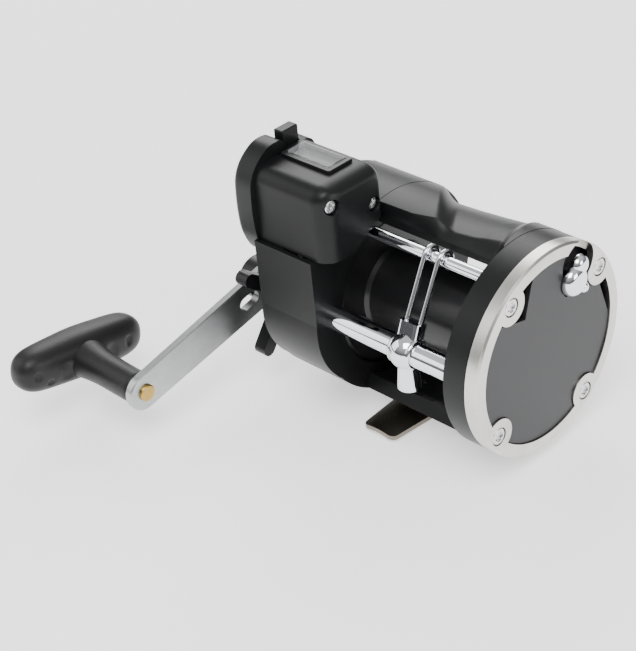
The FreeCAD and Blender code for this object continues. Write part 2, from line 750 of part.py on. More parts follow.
def ratchet():
    teeth = 10
    corners = []
    for index in range(teeth):
        start = index * 360 / teeth
        corners.append(around(8.2, start, hub_y, hub_z))
        corners.append(around(6.4, start + 4, hub_y, hub_z))
        corners.append(around(7.4, start + 22, hub_y, hub_z))
    return prism(corners, -33.2, -32.2).cut(rod(3.02, -34, -31, hub_y, hub_z))


def anti_reverse_dog():
    eye = pipe(2.6, 1.26, -33.1, -32.3, dog_y, dog_z)
    towards = math.degrees(math.atan2(hub_z - dog_z, hub_y - dog_y)) + 40
    finger = prism([(dog_y + 1.5, dog_z - 1.4), (dog_y + 8.0, dog_z - 0.5), (dog_y + 8.0, dog_z + 0.5),
                    (dog_y + 1.5, dog_z + 1.4)], -33.1, -32.3)
    dog = eye.fuse(spin(finger, towards, dog_y, dog_z))
    return dog.cut(rod(1.26, -34, -32, dog_y, dog_z))


def dog_spring():
    return block(-32.2, -31.0, dog_y + 3.1, dog_y + 3.4, dog_z - 5, dog_z + 2)


star_arms = 4
star_radius = 24.2
star_half_width = 2.5


def star_drag():
    hub = rod(7.6, -55.0, -48.0, hub_y, hub_z)
    hub = hub.makeFillet(1.5, edges_at_x(hub, -55.0))
    for index in range(star_arms):
        reach = star_radius - star_half_width
        arm = block(-57.6, -52.6, hub_y, hub_y + reach, hub_z - star_half_width, hub_z + star_half_width)
        end = rod(star_half_width, -57.6, -52.6, hub_y + reach, hub_z)
        arm = arm.fuse(end).removeSplitter()
        hub = hub.fuse(spin(arm, 143.4 + 90 * index, hub_y, hub_z))
    hub = hub.fuse(rod(7.6, -57.6, -54.0, hub_y, hub_z)).removeSplitter()
    return hub.cut(rod(3.08, -60, -46, hub_y, hub_z))


# ---------------------------------------------------------------- handle
hub_end_radius = 7.6
tip_end_radius = 6.6


def handle_arm():
    length = math.hypot(rivet_y - hub_y, rivet_z - hub_z)
    slope = math.degrees(math.atan2(rivet_z - hub_z, rivet_y - hub_y))
    lean = math.asin((hub_end_radius - tip_end_radius) / length)
    sides = [(hub_end_radius * math.sin(lean), hub_end_radius * math.cos(lean)),
             (length + tip_end_radius * math.sin(lean), tip_end_radius * math.cos(lean))]
    corners = [(y, z) for y, z in sides] + [(y, -z) for y, z in reversed(sides)]
    corners = [(hub_y + y, hub_z + z) for y, z in corners]
    arm = prism(corners, arm_back_x, arm_front_x)
    arm = arm.fuse(rod(hub_end_radius, arm_back_x, arm_front_x, hub_y, hub_z))
    arm = arm.fuse(rod(tip_end_radius, arm_back_x, arm_front_x, hub_y + length, hub_z)).removeSplitter()
    edges = edges_at_x(arm, arm_back_x) + edges_at_x(arm, arm_front_x)
    arm = arm.makeChamfer(0.35, edges)
    slot_ends = (hub_y + 9.2, hub_y + 13.0)
    slot = block(arm_back_x - 1, arm_front_x + 1, slot_ends[0], slot_ends[1], hub_z - 2.6, hub_z + 2.6)
    for y in slot_ends:
        slot = slot.fuse(rod(2.6, arm_back_x - 1, arm_front_x + 1, y, hub_z))
    arm = arm.cut(slot).cut(rod(3.0, arm_back_x - 1, arm_front_x + 1, hub_y, hub_z))
    arm = arm.cut(rod(2.3, arm_back_x - 1, arm_front_x + 1, hub_y + length, hub_z))
    return spin(arm, slope, hub_y, hub_z)


def handle_nut():
    corners = [around(6.2, 60 * index, hub_y, hub_z) for index in range(6)]
    nut = prism(corners, -69.6, arm_back_x - 0.05)
    return nut.cut(rod(3.02, -70, -65, hub_y, hub_z))


def nut_retainer():
    cap = pipe(7.6, 6.7, -70.4, arm_back_x, hub_y, hub_z).fuse(rod(7.6, -71.4, -70.3, hub_y, hub_z))
    cap = cap.removeSplitter()
    return cap.makeChamfer(0.6, edges_at_x(cap, -71.4)[:1])


def knob_rivet():
    head = rod(3.0, arm_front_x + 0.02, arm_front_x + 1.1, rivet_y, rivet_z)
    head = head.makeFillet(0.5, edges_at_x(head, arm_front_x + 1.1))
    return head.fuse(rod(2.3, -98.0, arm_front_x + 0.1, rivet_y, rivet_z))


knob_length = 53.0
knob_lift = 1.2
knob_tilt = -8.8


def knob():
    # A long rounded grip across the end of a round stem.
    half = knob_length / 2
    grip = block(-107.0, -91.0, rivet_y - half, rivet_y + half, rivet_z + knob_lift - 9.0,
                 rivet_z + knob_lift + 9.0)
    grip = grip.makeFillet(7.6, grip.Edges)
    stem = rod(6.2, -94.0, arm_back_x - 0.4, rivet_y, rivet_z)
    body = grip.fuse(stem).cut(rod(2.36, -98.4, -60, rivet_y, rivet_z))
    return spin(body, knob_tilt, rivet_y, rivet_z)


# ---------------------------------------------------------------- line counter
def housing_outline(x0, x1, inset):
    front = housing_front_y + inset
    rear = housing_rear_y - inset
    top = housing_top_z - inset
    low = housing_bottom_z - (1 if inset > 0 else 0)
    return prism([(rear, low), (front, low), (front, top - 9.5), (front + 0.9, top - 5.6),
                  (front + 3.0, top - 2.6), (front + 6.0, top - 0.6), (front + 9.5, top),
                  (rear - 4.5, top), (rear - 2.0, top - 0.6), (rear - 0.5, top - 2.4),
                  (rear, top - 5)], x0, x1)


cap_top_z = axis_z + 58.2


def cap_outline(x0, x1, inset):
    front = -39.2 + inset
    rear = -9.0 - inset
    top = cap_top_z - inset
    ledge = axis_z + 54.2 - inset
    low = axis_z + 20.5 - (1 if inset > 0 else 0)
    return prism([(rear, low + 4), (-28, low), (front + 5.0, low), (front + 1.5, low + 6), (front,
            low + 13),
                  (front, top - 14), (front + 0.8, top - 9), (front + 3.4, top - 4.4), (front + 7.5,
                          top - 1.3),
                  (front + 11, top), (-23.6 - inset, top), (-22.6 - inset, ledge), (rear - 4, ledge),
                  (rear - 1.2, ledge - 1.8), (rear, ledge - 5)], x0, x1)


cap_near_x = -41.5
window_x = (-40.6, -19.0)
window_y = (-25.6, -14.6)
counter_wall = 1.8


def counter_housing():
    shell = housing_outline(cap_near_x, housing_near_x, 0)
    rim = [edge for edge in edges_at_x(shell, housing_near_x) if edge.BoundBox.ZMax > housing_bottom_z + 1]
    shell = shell.makeFillet(2.2, rim)
    shell = shell.cut(housing_outline(cap_near_x - 1, housing_near_x - counter_wall, counter_wall))
    shell = shell.fuse(rod(3.2, -16.4, -12.0, counter_y, counter_z))
    shell = shell.cut(rod(1.56, -16.6, -12.4, counter_y, counter_z))
    shell = shell.cut(rod(drum_radius + 0.08, -50, 0, 0, axis_z))
    shell = shell.cut(block(window_x[0] + 1.6, window_x[1] - 1.6, window_y[0] + 1.6, window_y[1] - 1.6,
                            housing_top_z - 4, housing_top_z + 4))
    for y, z in counter_screw_places:
        shell = shell.fuse(rod(3.4, housing_near_x - 4.5, housing_near_x - 0.6, y, z).common(
            housing_outline(cap_near_x, housing_near_x - 0.6, 0)))
        shell = shell.cut(rod(2.7, housing_near_x - 2.6, housing_near_x + 1, y, z))
        shell = shell.cut(rod(1.35, housing_near_x - 12, housing_near_x + 1, y, z))
    return shell


counter_screw_places = ((-32.4, axis_z + 47.4), (-14.6, axis_z + 40.5))


def counter_screws():
    return [screw(2.3, 1.2, 1.3, 9.0, housing_near_x - 2.55, y, z) for y, z in counter_screw_places]


def counter_end_cap():
    cap = cap_outline(cap_far_x, cap_near_x, 0)
    rim = [edge for edge in edges_at_x(cap, cap_far_x)]
    cap = cap.makeChamfer(2.4, rim)
    cap = cap.cut(cap_outline(cap_far_x + 2.0, cap_near_x - 1.8, counter_wall))
    cap = cap.cut(housing_outline(cap_near_x - 2, cap_near_x + 1, counter_wall + 0.3))
    cap = cap.fuse(rod(3.2, -48.5, cap_near_x, counter_y, counter_z))
    cap = cap.cut(rod(1.56, -44.6, cap_near_x + 1, counter_y, counter_z))
    drum = side_profile(gear_face_x - 0.3, -40, -0.08).fuse(rod(drum_radius + 0.08, -45.3, -40, 0, axis_z))
    cap = cap.cut(drum)
    cap = cap.cut(block(button_x[0] - 0.2, button_x[1] + 0.2, button_y[0] - 0.2, button_y[1] + 0.2,
                        axis_z + 50.6, axis_z + 62))
    shelf = block(-48.2, -41.8, button_y[0] - 1, button_y[1] + 1, axis_z + 45.6, axis_z + 46.6)
    return cap.fuse(shelf)


button_x = (-46.6, -42.6)
button_y = (-22.0, -14.8)


def reset_button():
    top = block(button_x[0], button_x[1], button_y[0], button_y[1], axis_z + 53.6, axis_z + 59.8)
    top = top.makeFillet(0.5, top.Edges)
    middle = (button_y[0] + button_y[1]) / 2
    centre_x = (button_x[0] + button_x[1]) / 2
    return top.fuse(Part.makeCylinder(0.9, 3.4, Vector(centre_x, middle, axis_z + 50.4), Vector(0, 0, 1)))


def reset_spring():
    middle = (button_y[0] + button_y[1]) / 2
    base = Vector((button_x[0] + button_x[1]) / 2, middle, axis_z + 46.95)
    return coil(1.5, 0.25, 2.0, 6.0, base, Vector(0, 0, 1))


def window_bezel():
    frame = block(window_x[0], window_x[1], window_y[0], window_y[1], housing_top_z + 0.1,
                  housing_top_z + 1.1)
    frame = frame.makeFillet(0.9, long_edges(frame, 0.5, Vector(0, 0, 1)))
    return frame.cut(block(window_x[0] + 1.5, window_x[1] - 1.5, window_y[0] + 1.5, window_y[1] - 1.5,
                           housing_top_z - 1, housing_top_z + 3))


def counter_window():
    lens = block(window_x[0] + 1.6, window_x[1] - 1.6, window_y[0] + 1.6, window_y[1] - 1.6,
                 housing_top_z - 0.9, housing_top_z + 1.6)
    return lens.makeFillet(0.7, long_edges(lens, 0.5, Vector(0, 0, 1)))


wheel_width = 3.0
wheel_step = 3.15
wheels_x = -31.2


def digit_wheel(index, bore):
    right = wheels_x - index * wheel_step
    return pipe(wheel_radius, bore, right - wheel_width, right, counter_y, counter_z)


def counter_shaft():
    gear = toothed(counter_teeth, counter_module, -30.8, -28.7, counter_y, counter_z, 0, counter_phase)
    return gear.fuse(rod(1.5, -44.4, -12.6, counter_y, counter_z))


save("thumb_bar", thumb_bar())
save("rear_bar", rear_bar())
save("foot_bridge", foot_bridge())
save("foot", foot())
save("foot_rivets", foot_rivets())
save("gear_side_frame", gear_side_frame())
save("gear_axles", gear_axles())
save("gear_cover", gear_cover())
save("gear_cover_screws", gear_cover_screws())
save("bridge_plate", bridge_plate())
save("spool_shaft", spool_shaft())
save("pinion", pinion())
save("yoke", yoke())
save("yoke_springs", yoke_springs())
save("clutch_lever", clutch_lever())
save("main_shaft", main_shaft())
save("drive_gear", drive_gear())
save("fibre_drag_washers", washers(11.0, (-36.65,)))
save("metal_drag_washers", washers(11.0, (-36.02, -37.28)))
save("ratchet", ratchet())
save("anti_reverse_dog", anti_reverse_dog())
save("dog_spring", dog_spring())
save("star_drag", star_drag())
save("handle_arm", handle_arm())
save("handle_nut", handle_nut())
save("nut_retainer", nut_retainer())
save("knob_rivet", knob_rivet())
save("knob", knob())
save("counter_housing", counter_housing())
save("counter_screws", counter_screws())
save("counter_end_cap", counter_end_cap())
save("reset_button", reset_button())
save("reset_spring", reset_spring())
save("window_bezel", window_bezel())
save("counter_window", counter_window())
save("units_wheel", digit_wheel(2, 1.5))
save("tens_wheel", digit_wheel(1, 1.56))
save("hundreds_wheel", digit_wheel(0, 1.56))
save("counter_shaft", counter_shaft())
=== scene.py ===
import bpy
import math
import numpy as np
from mathutils import Matrix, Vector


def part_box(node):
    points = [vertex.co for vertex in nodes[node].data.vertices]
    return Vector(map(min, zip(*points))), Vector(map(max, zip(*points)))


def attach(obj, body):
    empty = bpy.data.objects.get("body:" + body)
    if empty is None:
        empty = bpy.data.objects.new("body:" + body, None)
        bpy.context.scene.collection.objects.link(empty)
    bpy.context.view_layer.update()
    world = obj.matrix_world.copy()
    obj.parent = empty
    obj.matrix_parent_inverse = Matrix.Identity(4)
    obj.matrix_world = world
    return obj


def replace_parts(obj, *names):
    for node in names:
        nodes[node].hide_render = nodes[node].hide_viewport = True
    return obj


# Trolling reel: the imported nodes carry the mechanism, the soft-edged mouldings are made here.
# Shapes are worked out in millimetres and put into the meshes in metres.

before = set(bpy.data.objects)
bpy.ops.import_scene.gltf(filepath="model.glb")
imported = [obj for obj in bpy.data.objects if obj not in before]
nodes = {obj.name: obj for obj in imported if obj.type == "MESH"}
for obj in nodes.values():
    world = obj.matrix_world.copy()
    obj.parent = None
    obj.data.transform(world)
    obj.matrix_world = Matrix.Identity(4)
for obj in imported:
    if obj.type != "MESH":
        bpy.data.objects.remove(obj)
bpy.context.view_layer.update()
axisZ = 39.2  # height of the spool's axis
rivetY, rivetZ = -77.0, axisZ - 19.2  # the knob's axis
print("frame loaded")


# meshes
def putMesh(name, points, quads, smoothAngle=38):
    # points is (n, 3) in millimetres, quads is (m, 4); a quad whose last corner repeats is a triangle
    mesh = bpy.data.meshes.new(name)
    faces = [tuple(dict.fromkeys(row)) for row in np.asarray(quads).tolist()]
    mesh.from_pydata((np.asarray(points) / 1000).tolist(), [], faces)
    mesh.validate()
    mesh.shade_smooth()
    mesh.set_sharp_from_angle(angle=math.radians(smoothAngle))
    piece = bpy.data.objects.new(name, mesh)
    bpy.context.scene.collection.objects.link(piece)
    return piece


def loftLoops(name, loops, smoothAngle=38, flip=False):
    # loops is (rows, n, 3): closed rings joined one to the next, both ends closed to their middles
    rows, n, _ = loops.shape
    ringIndex = np.arange(rows * n).reshape(rows, n)
    nextIndex = np.roll(ringIndex, -1, axis=1)
    body = np.stack([ringIndex[:-1], nextIndex[:-1], nextIndex[1:], ringIndex[1:]], -1).reshape(-1, 4)
    first, last = rows * n, rows * n + 1
    points = np.concatenate([loops.reshape(-1, 3), loops[:1].mean(1), loops[-1:].mean(1)])
    startFan = np.stack([nextIndex[0], ringIndex[0], np.full(n, first), np.full(n, first)], -1)
    endFan = np.stack([ringIndex[-1], nextIndex[-1], np.full(n, last), np.full(n, last)], -1)
    quads = np.concatenate([body, startFan, endFan])
    if flip:
        quads = quads[:, [1, 0, 3, 2]]
        quads[-2 * n:] = np.concatenate([startFan, endFan])[:, [1, 0, 2, 3]]
    return putMesh(name, points, quads, smoothAngle)


def smoothLoop(corners, count):
    # a closed curve through the corners: each span is a cubic whose slopes come from its neighbours
    corners = np.asarray(corners, float)
    k = len(corners)
    t = np.linspace(0, k, count, endpoint=False)
    i = t.astype(int)
    f = (t - i)[:, None]
    a, b, c, d = (corners[(i + shift) % k] for shift in (-1, 0, 1, 2))
    return 0.5 * (2 * b + (c - a) * f + (2 * a - 5 * b + 4 * c - d) * f ** 2 + (3 * b - a - 3 * c + d) * f ** 3)


def roundedRect(lowY, highY, lowZ, highZ, radii, perCorner=10):
    # a rectangle in Y and Z whose corners are quarter circles
    # radii go low-low, high-low, high-high, low-high
    turns = np.linspace(0, math.pi / 2, perCorner)
    parts = []
    for index, (cy, cz, sy, sz) in enumerate(((lowY, lowZ, 1, 1), (highY, lowZ, -1, 1), (highY, highZ, -1,
        -1), (lowY, highZ, 1, -1))):
        angles = math.pi + index * math.pi / 2 + turns
        parts.append(np.stack([cy + sy * radii[index] + radii[index] * np.cos(angles),
                               cz + sz * radii[index] + radii[index] * np.sin(angles)], -1))
    return np.concatenate(parts)


def cutAway(piece, cutters):
    # the cutters are taken out of the piece, and the result becomes its mesh
    for cutter in cutters:
        step = piece.modifiers.new("cut", "BOOLEAN")
        step.operation = "DIFFERENCE"
        step.solver = "EXACT"
        step.object = cutter
    bpy.context.view_layer.update()
    mesh = bpy.data.meshes.new_from_object(piece.evaluated_get(bpy.context.evaluated_depsgraph_get()))
    piece.modifiers.clear()
    piece.data = mesh
    mesh.shade_smooth()
    mesh.set_sharp_from_angle(angle=math.radians(32))
    for cutter in cutters:
        bpy.data.objects.remove(cutter)


def cutterBox(lowX, highX, lowY, highY, lowZ, highZ, radius=0.4):
    outline = roundedRect(lowY, highY, lowZ, highZ, (radius,) * 4, 5)
    xs = np.array([lowX, highX])
    loops = np.concatenate([np.full((2, len(outline), 1), 0.0) + xs[:, None, None],
                            np.repeat(outline[None], 2, 0)], -1)
    return loftLoops("cutter", loops)


def cutterRod(x0, x1, y, z, radius):
    turns = np.linspace(0, 2 * math.pi, 40, endpoint=False)
    outline = np.stack([y + radius * np.cos(turns), z + radius * np.sin(turns)], -1)
    xs = np.array([x0, x1])
    loops = np.concatenate([np.full((2, 40, 1), 0.0) + xs[:, None, None], np.repeat(outline[None], 2, 0)], -1)
    return loftLoops("cutter", loops)


# finishes
def finish(name, look):
    # colour drifts between two close tones, roughness drifts with it, and a fine pattern lifts the surface
    material = bpy.data.materials.new(name)
    material.use_nodes = True
    tree = material.node_tree
    shader = tree.nodes["Principled BSDF"]
    shader.inputs["Metallic"].default_value = look.get("metal", 0.0)
    shader.inputs["IOR"].default_value = look.get("ior", 1.5)
    shader.inputs["Coat Weight"].default_value = look.get("coat", 0.0)
    shader.inputs["Coat Roughness"].default_value = look.get("coatRough", 0.1)
    shader.inputs["Specular IOR Level"].default_value = look.get("specular", 0.5)
    shader.inputs["Alpha"].default_value = look.get("alpha", 1.0)

    def add(kind, **inputs):
        node = tree.nodes.new(kind)
        for key, value in inputs.items():
            node.inputs[key].default_value = value
        return node

    place = add("ShaderNodeTexCoord").outputs["Object"]
    pattern = look.get("pattern", "grain")
    if pattern == "turned":  # rings about an axis along X
        centre = look.get("centre", (0.0, axisZ))
        split = tree.nodes.new("ShaderNodeSeparateXYZ")
        tree.links.new(place, split.inputs[0])
        squares = []
        for socket, middle in (("Y", centre[0]), ("Z", centre[1])):
            shift = add("ShaderNodeMath")
            shift.operation = "SUBTRACT"
            shift.inputs[1].default_value = middle / 1000
            tree.links.new(split.outputs[socket], shift.inputs[0])
            power = add("ShaderNodeMath")
            power.operation = "MULTIPLY"
            tree.links.new(shift.outputs[0], power.inputs[0])
            tree.links.new(shift.outputs[0], power.inputs[1])
            squares.append(power)
        total = add("ShaderNodeMath")
        total.operation = "ADD"
        tree.links.new(squares[0].outputs[0], total.inputs[0])
        tree.links.new(squares[1].outputs[0], total.inputs[1])
        root = add("ShaderNodeMath")
        root.operation = "SQRT"
        tree.links.new(total.outputs[0], root.inputs[0])
        join = tree.nodes.new("ShaderNodeCombineXYZ")
        tree.links.new(root.outputs[0], join.inputs[0])
        tree.links.new(split.outputs["X"], join.inputs[1])
        finePlace = join.outputs[0]
    elif pattern in ("brushed", "drawn"):
        mapping = add("ShaderNodeMapping")
        mapping.inputs["Rotation"].default_value = look.get("turn", (0, 0, 0))
        mapping.inputs["Scale"].default_value = look.get("stretch", (1, 0.03, 1))
        tree.links.new(place, mapping.inputs[0])
        finePlace = mapping.outputs[0]
    else:
        finePlace = place
    broad = add("ShaderNodeTexNoise", Scale=look.get("broadScale", 60), Detail=4, Roughness=0.6)
    tree.links.new(place, broad.inputs["Vector"])
    if pattern == "weave":
        fine = add("ShaderNodeTexWave", Scale=look.get("fineScale", 900), Distortion=1.5, Detail=2)
    elif pattern == "speckle":
        fine = add("ShaderNodeTexVoronoi", Scale=look.get("fineScale", 2600))
    else:
        fine = add("ShaderNodeTexNoise", Scale=look.get("fineScale", 2600), Detail=3, Roughness=0.65)
    tree.links.new(finePlace, fine.inputs["Vector"])
    fineOut = fine.outputs["Distance"] if pattern == "speckle" else fine.outputs[0]

    tones = tree.nodes.new("ShaderNodeValToRGB")
    tones.color_ramp.elements[0].position = 0.3
    tones.color_ramp.elements[1].position = 0.7
    tones.color_ramp.elements[0].color = (*look["dark"], 1)
    tones.color_ramp.elements[1].color = (*look["light"], 1)
    blend = tree.nodes.new("ShaderNodeMix")
    blend.data_type = "FLOAT"
    blend.inputs[0].default_value = look.get("fineTone", 0.35)
    tree.links.new(broad.outputs[0], blend.inputs[2])
    tree.links.new(fineOut, blend.inputs[3])
    tree.links.new(blend.outputs[0], tones.inputs[0])
    colour = tones.outputs[0]
    if "paintedShade" in look:  # painted shade: the colour is darkened towards one end, along Y
        ends = look["paintedShade"]
        parts = tree.nodes.new("ShaderNodeSeparateXYZ")
        tree.links.new(place, parts.inputs[0])
        ramp = add("ShaderNodeMapRange")
        ramp.inputs["From Min"].default_value = ends[0] / 1000
        ramp.inputs["From Max"].default_value = ends[1] / 1000
        ramp.inputs["To Min"].default_value = 1.0
        ramp.inputs["To Max"].default_value = ends[2]
        tree.links.new(parts.outputs["Y"], ramp.inputs["Value"])
        scale = tree.nodes.new("ShaderNodeVectorMath")
        scale.operation = "SCALE"
        tree.links.new(colour, scale.inputs[0])
        tree.links.new(ramp.outputs[0], scale.inputs["Scale"])
        colour = scale.outputs[0]
    tree.links.new(colour, shader.inputs["Base Color"])

    spread = add("ShaderNodeMapRange")
    spread.inputs["To Min"].default_value = look["rough"][0]
    spread.inputs["To Max"].default_value = look["rough"][1]
    tree.links.new(blend.outputs[0], spread.inputs["Value"])
    tree.links.new(spread.outputs[0], shader.inputs["Roughness"])

    bump = add("ShaderNodeBump", Strength=look.get("lift", 0.2), Distance=look.get("depth", 0.00005))
    tree.links.new(fineOut, bump.inputs["Height"])
    tree.links.new(bump.outputs[0], shader.inputs["Normal"])
    return material


finishes = {
    "mouldedBlack": {"dark": (0.0045, 0.0047, 0.0051), "light": (0.0085, 0.0088, 0.0093), "rough": (0.30,
        0.44), "lift": 0.3,
                     "depth": 0.00008, "fineScale": 2400, "broadScale": 45, "specular": 0.22},
    "satinBlack": {"dark": (0.006, 0.006, 0.007), "light": (0.010, 0.010, 0.011), "rough": (0.28, 0.40),
                   "lift": 0.2, "specular": 0.3},
    "innerBlack": {"dark": (0.006, 0.006, 0.007), "light": (0.010, 0.010, 0.011), "rough": (0.4, 0.6),
                   "lift": 0.2, "specular": 0.2},
    "ringMetal": {"dark": (0.52, 0.51, 0.47), "light": (0.74, 0.73, 0.69), "metal": 1.0, "rough": (0.24,
        0.36),
                  "pattern": "turned", "fineScale": 3800, "lift": 0.18, "depth": 0.00003},
    "coverGrey": {"dark": (0.019, 0.0195, 0.021), "light": (0.028, 0.0285, 0.031), "rough": (0.30, 0.40),
                  "metal": 0.1, "specular": 0.35,
                  "fineScale": 4200, "lift": 0.12, "broadScale": 30},
    "screwSteel": {"dark": (0.58, 0.58, 0.58), "light": (0.80, 0.80, 0.80), "metal": 1.0, "rough": (0.24,
        0.36), "lift": 0.1},
    "groundSteel": {"dark": (0.45, 0.45, 0.46), "light": (0.66, 0.66, 0.68), "metal": 1.0, "rough": (0.22,
        0.34),
                    "pattern": "turned", "fineScale": 3000, "lift": 0.15},
    "springSteel": {"dark": (0.40, 0.40, 0.42), "light": (0.60, 0.60, 0.63), "metal": 1.0, "rough": (0.2,
        0.35), "lift": 0.1},
    "chromePlate": {"dark": (0.76, 0.79, 0.84), "light": (0.90, 0.92, 0.95), "metal": 1.0, "rough": (0.035,
        0.085),
                    "broadScale": 90, "lift": 0.02, "depth": 0.00001},
    "wireChrome": {"dark": (0.62, 0.63, 0.66), "light": (0.82, 0.83, 0.86), "metal": 1.0, "rough": (0.08,
        0.16), "lift": 0.03},
    "anodisedBlack": {"dark": (0.006, 0.006, 0.007), "light": (0.012, 0.012, 0.013), "metal": 0.2,
                      "coat": 0.35, "coatRough": 0.22, "specular": 0.35,
                      "rough": (0.34, 0.46), "pattern": "turned", "fineScale": 2600, "lift": 0.05,
                      "depth": 0.00001},
    "gearBrass": {"dark": (0.50, 0.33, 0.10), "light": (0.72, 0.52, 0.20), "metal": 1.0, "rough": (0.22,
        0.38), "lift": 0.12},
    "rivetBrass": {"dark": (0.36, 0.23, 0.06), "light": (0.55, 0.38, 0.12), "metal": 1.0, "rough": (0.26,
        0.42),
                   "pattern": "turned", "centre": (rivetY, rivetZ), "fineScale": 3000, "lift": 0.25,
                   "depth": 0.00004},
    "gearResin": {"dark": (0.60, 0.58, 0.52), "light": (0.76, 0.74, 0.67), "rough": (0.4, 0.55),
                  "lift": 0.15},
    "stampedPlate": {"dark": (0.42, 0.42, 0.42), "light": (0.60, 0.60, 0.60), "metal": 1.0, "rough": (0.3,
        0.45), "lift": 0.15},
    "smokedFoot": {"dark": (0.15, 0.13, 0.11), "light": (0.29, 0.26, 0.22), "metal": 1.0, "rough": (0.26,
        0.40),
                   "broadScale": 25, "lift": 0.1, "fineScale": 1800},
    # the arm's colour carries painted shade, darker towards the end nearer the reel body
    "brushedArm": {"dark": (0.34, 0.345, 0.35), "light": (0.48, 0.485, 0.49), "metal": 1.0, "rough": (0.26,
        0.40),
                   "pattern": "brushed", "turn": (math.radians(-12), 0, 0), "stretch": (1, 0.02, 1),
                   "fineScale": 2600,
                   "lift": 0.25, "depth": 0.00003, "paintedShade": (-70, -14, 0.42)},
    "gripRubber": {"dark": (0.005, 0.005, 0.005), "light": (0.009, 0.009, 0.009), "rough": (0.34, 0.52),
                   "pattern": "speckle", "specular": 0.32,
                   "fineScale": 1500, "lift": 0.3, "depth": 0.00008, "fineTone": 0.15},
    "wovenFibre": {"dark": (0.06, 0.045, 0.03), "light": (0.15, 0.12, 0.085), "rough": (0.7, 0.9),
                   "pattern": "weave",
                   "fineScale": 260, "lift": 0.5, "depth": 0.0001},
    "bezelGloss": {"dark": (0.008, 0.008, 0.009), "light": (0.013, 0.013, 0.014), "rough": (0.30, 0.42),
                   "specular": 0.3, "lift": 0.1},
    "clearLens": {"dark": (0.88, 0.90, 0.92), "light": (0.95, 0.96, 0.97), "rough": (0.02, 0.06),
                  "alpha": 0.12, "coat": 1.0, "coatRough": 0.03,
                  "lift": 0.01, "depth": 0.00001},
    "wheelWhite": {"dark": (0.66, 0.66, 0.63), "light": (0.78, 0.78, 0.75), "rough": (0.4, 0.5), "lift": 0.1},
    "digitInk": {"dark": (0.010, 0.010, 0.012), "light": (0.018, 0.018, 0.020), "rough": (0.45, 0.6),
                 "lift": 0.1},
}
made = {name: finish(name, look) for name, look in finishes.items()}
print("finishes made:", len(made))

wears = {
    "mouldedBlack": "left_frame_ring gear_side_frame gear_cover rear_bar foot_bridge counter_housing "
                    "counter_end_cap thumb_bar reset_button",
    "satinBlack": "star_drag clutch_lever nut_retainer",
    "innerBlack": "left_bearing_plate",
    "ringMetal": "side_ring",
    "coverGrey": "left_cover",
    "screwSteel": "cover_screws gear_cover_screws counter_screws foot_rivets handle_nut",
    "groundSteel": "spool_bearings spool_shaft gear_axles main_shaft ratchet anti_reverse_dog "
                   "metal_drag_washers click_tongue worm_shaft",
    "springSteel": "dog_spring yoke_springs reset_spring",
    "chromePlate": "levelwind_tube stabilizer_rod carriage pawl_cap click_button",
    "wireChrome": "guide_wires",
    "anodisedBlack": "spool",
    "gearBrass": "spool_gear pinion drive_gear idler_gear pawl",
    "rivetBrass": "knob_rivet",
    "gearResin": "counter_gear_a counter_gear_b click_gear yoke counter_shaft",
    "stampedPlate": "bridge_plate",
    "smokedFoot": "foot",
    "brushedArm": "handle_arm",
    "gripRubber": "knob",
    "wovenFibre": "fibre_drag_washers",
    "bezelGloss": "window_bezel",
    "clearLens": "counter_window",
    "wheelWhite": "units_wheel tens_wheel hundreds_wheel",
}
for finishName, wearers in wears.items():
    for wearer in wearers.split():
        mesh = nodes[wearer].data
        mesh.materials.clear()
        mesh.materials.append(made[finishName])
print("nodes finished")


def dress(piece, finishName, body):
    piece.data.materials.clear()
    piece.data.materials.append(made[finishName])
    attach(piece, body)
    return piece


# handle knob: a fat rounded bar across the end of a waisted stem
knobShape = {"halfLength": 26.4, "halfDepth": 7.9, "halfHeight": 8.6, "midX": -95.0, "lift": 1.2,
             "tilt": -8.8, "stemStart": -61.9,
             "stemRadius": 5.7}
knobDimples = ((-0.80, 0.05, 1.3), (-0.62, -0.35, 1.3), (-0.36, -0.15, 2.6), (0.36, -0.15, 2.6), (0.66,
    0.05, 1.4))


def knobFrame(x, along, across):
    # the knob's own directions turned about its rivet
    turn = math.radians(knobShape["tilt"])
    y = rivetY + along * math.cos(turn) - across * math.sin(turn)
    z = rivetZ + along * math.sin(turn) + across * math.cos(turn)
    return np.stack([x + 0 * y, y, z], -1)


def makeKnob():
    # along the bar; sections are superellipses that swell a little at the middle
    s = np.linspace(-1, 1, 150)[:, None]
    t = np.linspace(-math.pi, math.pi, 128, endpoint=False)[None, :]
    s = np.sin(s * math.pi / 2 * 0.9995)
    end = np.clip(1 - np.abs(s) ** 7.0, 0.0004, 1) ** 0.45
    height = knobShape["halfHeight"] * end * (0.90 + 0.10 * np.exp(-(s / 0.5) ** 2))
    depth = knobShape["halfDepth"] * end * (0.90 + 0.10 * np.exp(-(s / 0.42) ** 2))
    for place, turn, size in knobDimples:  # shallow round moulding pockets on the arm's side
        far = ((s - place) * knobShape["halfLength"] / size) ** 2 + ((t - turn) * 8 / size) ** 2
        depth = depth * (1 - 0.10 * np.exp(-far ** 2))
    power = 0.80
    cosT = np.sign(np.cos(t)) * np.abs(np.cos(t)) ** power
    sinT = np.sign(np.sin(t)) * np.abs(np.sin(t)) ** power
    grip = loftLoops("knobGrip", knobFrame(knobShape["midX"] + depth * cosT,
                                           knobShape["halfLength"] * s + 0 * t,
                                           knobShape["lift"] + height * sinT), 60, True)
    u = np.linspace(0, 1, 40)[:, None]
    x = knobShape["stemStart"] + (knobShape["midX"] - knobShape["stemStart"]) * u
    radius = knobShape["stemRadius"] + 2.4 * np.clip((u - 0.45) / 0.55, 0,
                                                     1) ** 2 - 0.7 * np.exp(-(u / 0.02) ** 2)
    stem = loftLoops("knobStem", knobFrame(x, radius * np.cos(t) * (1 + 0.30 * u ** 3),
                                           knobShape["lift"] * u ** 2 + radius * np.sin(t)), 50, True)
    return grip, stem


